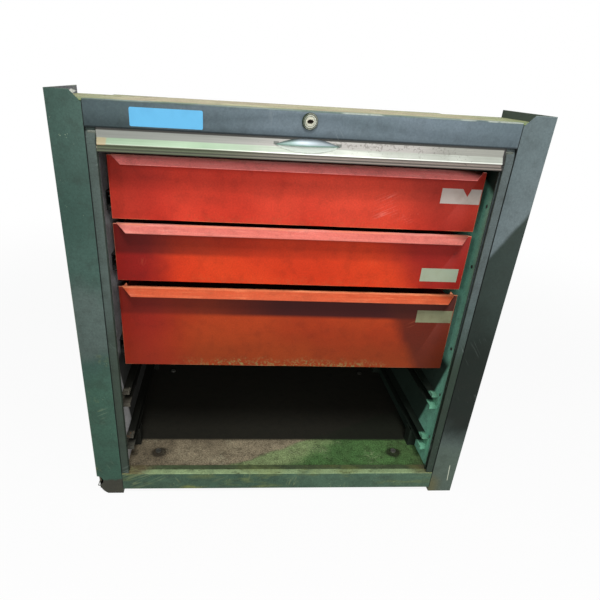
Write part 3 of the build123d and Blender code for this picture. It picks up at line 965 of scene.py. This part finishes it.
@dataclass
class Drawer:
    """One red drawer with its lip, tray, runners and label."""

    number: int
    bottom: float
    height: float
    paint: RGB
    faded: RGB
    paper: Paper
    face: float = -0.18545
    half: float = 0.2691
    lip_reach: float = 0.0193
    lip_drop: float = 0.0095
    scrape_across: float = 0.150
    scrape_height: float = 0.032
    rusty_foot: float = 0.15
    browning: float = 0.1
    right_shadow_colour: RGB = (140, 30, 26)
    right_shadow_share: float = 0.4
    right_shadow_from: float = 0.14
    lip_shadow_left: float = 0.05
    lip_shadow_right: float = 0.05
    left_shade_share: float = 0.55
    scraping: float = 0.0
    lip_fade_and_sheen_share: float = 0.85
    lip_fade_and_sheen: RGB = (216, 116, 106)
    lip_glint: RGB = (244, 176, 160)
    soft: Softening = field(default_factory=lambda: Softening(fold=0.0010, cut=0.0003))

    @property
    def body(self) -> str:
        """The body that the drawer's pieces ride on."""
        return f"drawer_{self.number}"

    def build(self) -> None:
        """Softens the front and dresses the drawer."""
        front = self.soft.copy(f"{self.body}_front", f"{self.body}_front_worn", self.body, ripple=0.0003)
        top = self.bottom + self.height
        edges = (Edge(Axis.Z, top, 0.0007, 0.7), Edge(Axis.Z, self.bottom, 0.0009, 0.7),
                 *[Edge(Axis.X, side * self.half, 0.0008, 0.4) for side in (1, -1)])
        Enamel(f"{self.body}_enamel", self.paint, self.faded, grime=(70, 26, 18), bared=(232, 140, 100),
               rust=(92, 40, 22), soil=0.24, wear=0.12, rusting=0.2, gloss=0.4, speckle=0.18, edges=edges,
               tint=self._ageing).put_on(front.name)
        Enamel(f"{self.body}_tray_enamel", (110, 26, 18), (128, 36, 24), grime=(40, 22, 18), soil=0.5,
               wear=0.2, rusting=0.3).put_on(f"{self.body}_tray")
        runner = BareMetal(f"{self.body}_runner_steel", (96, 94, 88), (66, 64, 60), 0.44, Axis.Y, 0.4,
                           staining=0.4)
        runner.put_on(f"{self.body}_runner_left", f"{self.body}_runner_right")
        self.paper.put_on(f"{self.body}_label")

    def _ageing(self, shader: Shader) -> Coats:
        """The left end is darkened by painted shade, the face has a painted shadow under the lip, and rust
        creeps up from the foot.
        """
        across, height = shader.x, shader.z - self.bottom
        drift = shader.noise(34.0, 5.0, shift=61.0 + self.number, rough=0.65)
        # Painted shade at the left end, where the flange keeps light off.
        left = (across + (drift - 0.5) * 0.03).between(-0.16, -0.23)
        yield left * self.left_shade_share, (140, 26, 22)
        # Painted shadow under the lip, stronger towards one end.
        under_lip_shadow = height.between(self.height - 0.048, self.height - 0.040)
        under_lip_shadow = under_lip_shadow * (across.between(-0.2, 0.0) * (self.lip_shadow_right - self.lip_shadow_left) + self.lip_shadow_left)
        yield under_lip_shadow, (58, 14, 12)
        yield from self._rust(shader, drift)
        scraped = abs(across - self.scrape_across).between(0.05, 0.02)
        scraped = scraped * abs(height - self.scrape_height).between(0.026, 0.008)
        marks = shader.scratches((0, 24, 0), 200.0, 1.0, 67.0) | shader.chips(260.0, 0.7, 69.0)
        yield marks * scraped * self.scraping, (236, 150, 136)
        yield from self._lip(shader)

    def _rust(self, shader: Shader, drift: Value) -> Coats:
        """The foot is brown with rust and flecked with the green of the first coat, and a painted shadow
        darkens the right end beyond a diagonal line.

        Args:
            shader: The shader.
            drift: The noise that makes the borders uneven.

        Yields:
            The coats.
        """
        across, height = shader.x, shader.z - self.bottom
        middle = across.between(-0.20, -0.13)
        brown = (height + drift * 0.04).between(0.11, 0.03) * self.browning
        yield brown * (middle * 0.7 + 0.3), (132, 58, 20)
        flecks = shader.noise(240.0, 4.0, shift=64.0, rough=0.75).between(0.50, 0.58)
        foot = (height + drift * 0.03).between(0.034, 0.014) * self.rusty_foot
        foot = foot * middle * across.between(0.20, 0.12)
        yield foot * flecks * 0.8, (142, 134, 84)
        # Painted shadow over the right end.
        right = (across + height * 0.55 + (drift - 0.5) * 0.02).between(self.right_shadow_from, 0.235)
        yield right * self.right_shadow_share, self.right_shadow_colour

    def _lip(self, shader: Shader) -> Coats:
        """The lip is pink, partly faded paint and partly painted sheen and light, with painted glints along
        it and its crest, and a painted shadow line at its cut edge.
        """
        proud = self.face - shader.y
        lip = proud.between(0.0002, 0.0022)
        # Pink on the lip: faded paint and painted sheen, lighter on the top drawer to stand for light it
        # lacks.
        yield lip * self.lip_fade_and_sheen_share, self.lip_fade_and_sheen
        brushed = shader.noise((22.0, 260.0, 260.0), 4.0, shift=66.0, rough=0.65).between(0.50, 0.68)
        yield lip * brushed * 0.25, self.lip_glint
        fall = self.bottom + self.height - shader.z
        # Painted highlight along the crest.
        crest = fall.between(0.0014, 0.0004)
        yield crest * (brushed * 0.4 + 0.3), self.lip_glint
        # Painted shadow line under the lip's cut edge.
        below = fall - proud * (self.lip_drop / self.lip_reach)
        cut = below.between(0.0005, 0.0009) * proud.between(0.004, 0.006)
        yield cut * 0.9, (44, 10, 8)


@dataclass
class Shutter:
    """The aluminium rail with its pull, the guides and the curtain that hangs from the roof."""

    top: float = 0.60564
    hinge: float = 0.5901
    travel: float = 0.535
    pitch: float = 0.016
    line: float = -0.21535
    half: float = 0.283
    crown: float = 0.003
    neck: float = 0.0006
    socket: float = 0.0026
    rail_face: float = -0.21995
    rail_end: float = 0.2692
    rail_top: float = 0.6073
    slope_top: float = 0.5982
    slope_foot: float = 0.5896
    gap: float = 0.5848
    rail_bottom: float = 0.5825
    pull_height: float = 0.6010
    pull_half: float = 0.0418
    soft: Softening = field(default_factory=lambda: Softening(fold=0.0005, cut=0.0003))

    def build(self) -> None:
        """Makes the hanging curtain and dresses the rail."""
        rail = self.soft.copy("tambour_rail", "tambour_rail_worn", Body.SHUTTER.value)
        BareMetal("rail_aluminium", (182, 186, 176), (160, 164, 154), 0.42, Axis.X, 0.5, staining=0.3,
                  metallic=0.35, tint=self._rail_bands).put_on(rail.name)
        BareMetal("pull_chrome", (158, 166, 172), (136, 146, 150), 0.42, Axis.X, 0.4, staining=0.2,
                  tint=self._pull_foot).put_on("rail_pull")
        Nylon("nylon_shoe").put_on("guide_left", "guide_right")
        curtain = self._hanging_curtain()
        BareMetal("slat_steel", (150, 156, 146), (124, 130, 120), 0.4, Axis.X, 0.25,
                  staining=0.2).put_on("curtain_slats", curtain.name)

    def _rail_bands(self, shader: Shader) -> Coats:
        """The rail is grey-beige above its sloped band, partly painted shade from the header, has a painted
        green reflection to the left, is olive in its groove, and has painted highlights, reflections and
        shade along it.
        """
        across, height = shader.x, shader.z
        # Painted green reflection on the left part.
        left = across.between(0.02, -0.16)
        yield left * 0.6, (112, 152, 110)
        # Grey-beige upper band: partly its own tone, partly painted shade from the header.
        upper = height.between(self.slope_top - 0.0007, self.slope_top + 0.0008)
        far = across.between(0.14, 0.2)
        beige = shader.mix(left, shader.mix(far, (163, 159, 154), (136, 136, 128)), (126, 126, 122))
        yield upper * 0.9, beige
        brushed = shader.noise((10.0, 700.0, 700.0), 3.0, shift=77.0)
        yield 1.0, lambda colour: shader.scaled(colour, (brushed - 0.5) * 0.5 + 1.0)
        specks = shader.chips(330.0, 0.95, 79.0) * abs(across - 0.11).between(0.13, 0.05)
        yield (upper * 0.2 + 0.25) * specks, (84, 78, 72)
        # Painted highlight along the foot of the slope.
        slope_highlight = abs(height - self.slope_foot - 0.0009).between(0.0008, 0.0004)
        yield slope_highlight * 0.6, (240, 244, 234)
        below = (height - left * 0.0012).between(self.slope_foot + 0.0003, self.slope_foot - 0.0003)
        yield below, shader.mix(left, (128, 118, 110), (88, 96, 74))
        foot = height.between(self.rail_bottom + 0.0003, self.rail_bottom - 0.0003)
        shadow = abs(height - self.gap).between(0.0009, 0.0004) | foot
        yield shadow * 0.85, (46, 44, 38)
        ragged = (shader.noise(90.0, 4.0, shift=75.0) - 0.5) * 0.02
        slope = height.between(self.slope_foot - 0.0011, self.slope_foot + 0.0009) * (1 - upper)
        rusty = (across + ragged).between(-0.258, -0.264) * slope
        yield rusty * 0.6, (170, 140, 104)
        # Painted reflection: a whitish patch below the pull where the pull's shadow falls.
        rise = height - self.pull_height
        scoop = (across * across * 0.0676 + rise ** 2.0) ** 0.5
        painted_reflection = scoop.between(0.0108, 0.0098)
        painted_reflection = painted_reflection * rise.between(-0.0112, -0.0104) * rise.between(0.0004, -0.0002)
        behind = painted_reflection * shader.y.between(self.rail_face - 0.0008, self.rail_face - 0.0003)
        yield behind * 0.9, (226, 234, 224)
        # Painted shade along the top edge, under the header.
        yield height.between(self.rail_top - 0.0003, self.rail_top + 0.0003), (60, 60, 56)
        # Painted shadows at the pull's tips.
        tip_shadows = abs(abs(across) - self.pull_half).between(0.0040, 0.0030)
        yield tip_shadows * abs(rise - 0.0014).between(0.0024, 0.0014) * 0.75, (66, 74, 68)
        # Painted shade at the right end, in the gap beside the strip.
        yield across.between(self.rail_end - 0.0004, self.rail_end + 0.0004), (34, 34, 32)

    def _pull_foot(self, shader: Shader) -> Coats:
        """The pull has a painted green reflection at its lower edge and left end, and a painted contact
        shadow round its edge against the rail.
        """
        # Painted green reflection.
        low = (shader.z - self.pull_height).between(0.0020, -0.0002)
        left = shader.x.between(-0.008, -0.024)
        yield low * 0.7 | left * 0.45, (70, 112, 88)
        # Painted contact shadow where the pull meets the rail.
        contact_shadow = (shader.y - self.rail_face).between(-0.00115, -0.00035)
        yield contact_shadow * 0.85, (52, 58, 54)

    def _profile(self) -> list[tuple[float, float]]:
        """One slat's front from its socket up to the next one.

        Returns:
            Distances towards the back and up from the hinge.
        """
        bulge = [(-self.socket - (self.crown - self.socket) * math.sin(math.pi * share / 0.8), share)
                 for share in (0.0, 0.1, 0.28, 0.45, 0.6, 0.74)]
        throat = [(-0.0017, 0.79), (-self.neck, 0.83), (-self.neck, 0.9), (-0.0015, 0.93),
                  (-self.socket, 0.985)]
        return [(back, self.pitch * share) for back, share in bulge + throat]

    def _rest_height(self, drawn: float) -> float:
        """The height at rest of a point that hangs at a given height when the shutter is down.

        Args:
            drawn: The height with the shutter down.

        Returns:
            The height at rest.
        """
        halvings = 40
        low, high = 0.0, 1.0
        for _ in range(halvings):
            share = (low + high) / 2
            moved = share * share * (3 - 2 * share)
            if self.top - (self.top - self.hinge) * share - self.travel * moved > drawn:
                low = share
            else:
                high = share
        return self.top - (self.top - self.hinge) * low

    def _hanging_curtain(self) -> bpy.types.Object:
        """Builds the slats that come down behind the rail, drawn together at rest.

        Returns:
            The curtain.
        """
        start = self.hinge - self.travel
        front: list[tuple[float, float]] = []
        count = math.ceil((self.top - start) / self.pitch)
        for number in range(count):
            front += [(back, start + number * self.pitch + rise) for back, rise in self._profile()]
        front = [point for point in front if point[1] < self.top - 0.0002]
        front = [(front[0][0], start)] + front[1:] + [(-self.socket, self.top)]
        mesh = bpy.data.meshes.new("hanging_curtain")
        with edited(mesh) as form:
            rows = []
            for back, height in front:
                rest = self._rest_height(height)
                rows.append([form.verts.new((side * self.half, self.line + depth, rest))
                             for depth in (back, self.neck) for side in (-1, 1)])
            for below, above in zip(rows, rows[1:]):
                for one, other in ((0, 1), (3, 2), (2, 0), (1, 3)):
                    form.faces.new((below[one], below[other], above[other], above[one]))
            form.faces.new((rows[0][1], rows[0][0], rows[0][2], rows[0][3]))
            form.faces.new((rows[-1][0], rows[-1][1], rows[-1][3], rows[-1][2]))
        curtain = add_object("hanging_curtain", mesh)
        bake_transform(curtain, Body.CABINET.value, Body.SHUTTER.value, start=(0, self.line, self.top),
                 end=(0, self.line, self.hinge))
        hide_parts("curtain_drop")
        LOG.info("hung %s slats", count)
        return curtain


@dataclass
class Lock:
    """The cam lock in the header."""

    height: float = 0.630
    ring: float = 0.0103
    groove: float = 0.0083
    plug: float = 0.006

    def build(self) -> None:
        """Dresses the lock's pieces."""
        BareMetal("lock_nickel", (150, 154, 142), (92, 96, 84), 0.16, Axis.X, 0.3, staining=0.1,
                  tint=self._rings).put_on("lock_body")
        BareMetal("plug_nickel", (146, 146, 132), (92, 90, 78), 0.2, Axis.X, 0.3, staining=0.3,
                  tint=self._keyway).put_on("lock_plug")
        BareMetal("cam_steel", (150, 148, 140), (118, 114, 106), 0.36, Axis.X, 0.4,
                  staining=0.3).put_on("lock_cam", "lock_clip", "cam_screw")

    def _radius(self, shader: Shader) -> Value:
        """The distance from the lock's axis."""
        across, rise = shader.x, shader.z - self.height
        return (across * across + rise * rise) ** 0.5

    def _rings(self, shader: Shader) -> Coats:
        """Painted shade in dark lines round the bezel's groove, its rim and the plug, and a painted green
        reflection on the rim and left side.
        """
        radius = self._radius(shader)
        rim = radius.between(self.ring - 0.0016, self.ring - 0.0006)
        # Painted green reflection.
        left = (shader.x - (shader.z - self.height) * 0.2).between(-0.003, -0.007)
        yield rim * 0.5 + left * 0.6, (40, 62, 42)
        # Painted shade in the groove and gaps.
        lines = (abs(radius - self.groove).between(0.0011, 0.0005)
                 | radius.between(self.ring - 0.0006, self.ring)
                 | radius.between(self.plug + 0.0007, self.plug + 0.0002))
        yield lines * 0.85, (44, 42, 36)

    def _keyway(self, shader: Shader) -> Coats:
        """Painted shade round the keyway, which makes it look wider, and a painted shade line round the plug.
        """
        across, rise = shader.x, shader.z - self.height
        # Painted shade round the keyhole.
        keyhole_shade = ((across * across) * 0.34 + rise * rise) ** 0.5 + (shader.noise(500.0, 3.0) - 0.5) * 0.0012
        yield keyhole_shade.between(0.0028, 0.0021), (26, 22, 18)
        # Painted shade line in the gap round the plug.
        edge = self._radius(shader).between(self.plug - 0.0005, self.plug - 0.0001)
        yield edge * 0.7, (60, 54, 44)


@dataclass
class Studio:
    """Floor, lamps, sky and the camera at the photograph's angle."""

    eye: tuple[float, float, float] = (-0.1040, -0.96035, 0.6778)
    pitch: float = 0.5078
    yaw: float = -0.09938
    roll: float = 0.06212
    focal_px: float = 523.5
    centre_px: tuple[float, float] = (271.1, 368.3)
    frame_px: float = 600.0
    sensor: float = 36.0
    aim: tuple[float, float, float] = (0.0, 0.0, 0.3)
    floor_half: float = 20.0
    floor_drop: float = 0.0004
    shaded_sky: float = 0.2

    def build(self) -> None:
        """Sets up everything that isn't part of the cabinet."""
        bpy.context.scene.view_settings.view_transform = "Standard"
        self._floor()
        self._sky()
        for name, place, size, power in (("key_lamp", (-0.1, -1.94, 2.76), 0.75, 62.0),
                                         ("front_lamp", (0.0, -2.6, 1.0), 1.0, 19.0),
                                         ("left_lamp", (-1.7, -1.9, 1.0), 1.0, 9.0),
                                         ("right_lamp", (1.7, -1.9, 1.0), 1.0, 9.0)):
            self._lamp(name, place, size, power)
        self._camera()

    def _camera(self) -> None:
        """Places the camera."""
        level = Matrix(((1, 0, 0), (0, 0, -1), (0, 1, 0)))
        view = Matrix.Rotation(self.roll, 3, "Z") @ Matrix.Rotation(self.pitch, 3, "X")
        view = view @ Matrix.Rotation(self.yaw, 3, "Y") @ level
        turn = view.transposed() @ Matrix.Diagonal((1, -1, -1))
        data = bpy.data.cameras.new("camera")
        data.sensor_width = self.sensor
        data.lens = self.focal_px / self.frame_px * self.sensor
        data.shift_x = (self.frame_px / 2 - self.centre_px[0]) / self.frame_px
        data.shift_y = (self.centre_px[1] - self.frame_px / 2) / self.frame_px
        data.clip_start, data.clip_end = 0.02, 100.0
        camera = add_object("camera", data)
        camera.matrix_world = Matrix.Translation(self.eye) @ turn.to_4x4()
        bpy.context.scene.camera = camera

    def _lamp(self, name: str, place: tuple[float, float, float], size: float, power: float) -> None:
        """Adds a square lamp that faces the cabinet.

        Args:
            name: The lamp's name.
            place: Where it hangs.
            size: The length of its side, in metres.
            power: Its power, in watts.
        """
        data = bpy.data.lights.new(name, "AREA")
        data.size = size
        data.energy = power
        lamp = add_object(name, data)
        lamp.location = place
        lamp.rotation_mode = "QUATERNION"
        lamp.rotation_quaternion = (Vector(self.aim) - Vector(place)).to_track_quat("-Z", "Y")

    def _floor(self) -> None:
        """Lays a plain pale floor, which keeps the cabinet's shadow."""
        mesh = bpy.data.meshes.new("studio_floor")
        with edited(mesh) as form:
            bmesh.ops.create_grid(form, x_segments=8, y_segments=8, size=self.floor_half)
        floor = add_object("studio_floor", mesh)
        floor.location.z = -self.floor_drop
        shader = Shader("studio_floor")
        seen = shader.add("ShaderNodeLightPath", {}, {}, "Is Camera Ray")
        mirrored = shader.add("ShaderNodeLightPath", {}, {}, "Is Glossy Ray")
        tone = shader.mix(seen, (124, 124, 124), (243, 243, 243))
        matte = shader.add("ShaderNodeBsdfDiffuse", {}, {"Color": tone})
        white = shader.add("ShaderNodeEmission", {}, {"Color": (1, 1, 1, 1), "Strength": 1.0})
        across, depth = shader.x, shader.y
        away = ((across * across + depth * depth) ** 0.5).between(0.7, 2.2)
        share = seen * (away * 0.1 + 0.9) | mirrored * 0.8
        pale = shader.add("ShaderNodeMixShader", {}, {0: share, 1: matte, 2: white})
        shader.feed(shader.tree.nodes["Material Output"].inputs["Surface"], pale)
        floor.data.materials.append(shader.material)

    def _sky(self) -> None:
        """A plain grey sky that looks white to the camera and in reflections."""
        world = bpy.data.worlds.new("studio_sky")
        world.use_nodes = True
        bpy.context.scene.world = world
        nodes = Nodes(world.node_tree)
        seen, mirrored, through = (nodes.add("ShaderNodeLightPath", {}, {}, f"Is {kind} Ray")
                                   for kind in ("Camera", "Glossy", "Transmission"))
        strength = nodes.add("ShaderNodeMapRange", {},
                             {"Value": seen | mirrored | through, "To Min": self.shaded_sky, "To Max": 1.0})
        backdrop = nodes.tree.nodes["Background"]
        nodes.feed(backdrop.inputs["Color"], (1, 1, 1, 1))
        nodes.feed(backdrop.inputs["Strength"], strength)


def drawers() -> list[Drawer]:
    """The three drawers from the top down.

    Returns:
        The drawers, not yet built.
    """
    white = Paper("label_white", (178, 168, 160), (150, 134, 122), 0.5)
    mint = Paper("label_mint", (148, 160, 138), (140, 148, 122), 0.4)
    grey = Paper("label_grey", (120, 122, 92), (98, 92, 66), 0.6)
    return [
        Drawer(1, 0.4874, 0.0862, (202, 56, 39), (220, 72, 51), white, lip_shadow_left=0.12, lip_shadow_right=0.12,
               scraping=0.4, right_shadow_colour=(120, 30, 26), right_shadow_share=0.6, lip_fade_and_sheen_share=1.0, lip_fade_and_sheen=(255, 136, 130),
               lip_glint=(255, 190, 178)),
        Drawer(2, 0.3947, 0.0862, (208, 57, 27), (226, 72, 34), mint, lip_shadow_left=0.62, lip_shadow_right=0.2,
               left_shade_share=1.0, right_shadow_share=0.9, lip_fade_and_sheen=(216, 124, 112)),
        Drawer(3, 0.2492, 0.1355, (156, 48, 20), (172, 62, 26), grey, rusty_foot=1.0, browning=0.6,
               lip_shadow_left=0.5, lip_shadow_right=1.0, left_shade_share=0.7, right_shadow_colour=(70, 24, 14), right_shadow_share=0.8,
               right_shadow_from=0.205, lip_fade_and_sheen=(206, 92, 56), lip_glint=(238, 150, 104)),
    ]


def main() -> None:
    """Loads the frame, dresses the cabinet piece by piece and sets up the studio."""
    logging.basicConfig(level=logging.INFO, format="%(name)s: %(message)s")
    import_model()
    sticker = Paper("header_sticker", (88, 172, 216), (72, 150, 194), 0.3, 0.42)
    sticker.put_on("header_label")
    for part in (Casing(), Shutter(), Lock(), *drawers(), Studio()):
        part.build()
        LOG.info("built %s", type(part).__name__)


if __name__ == "__main__":
    main()
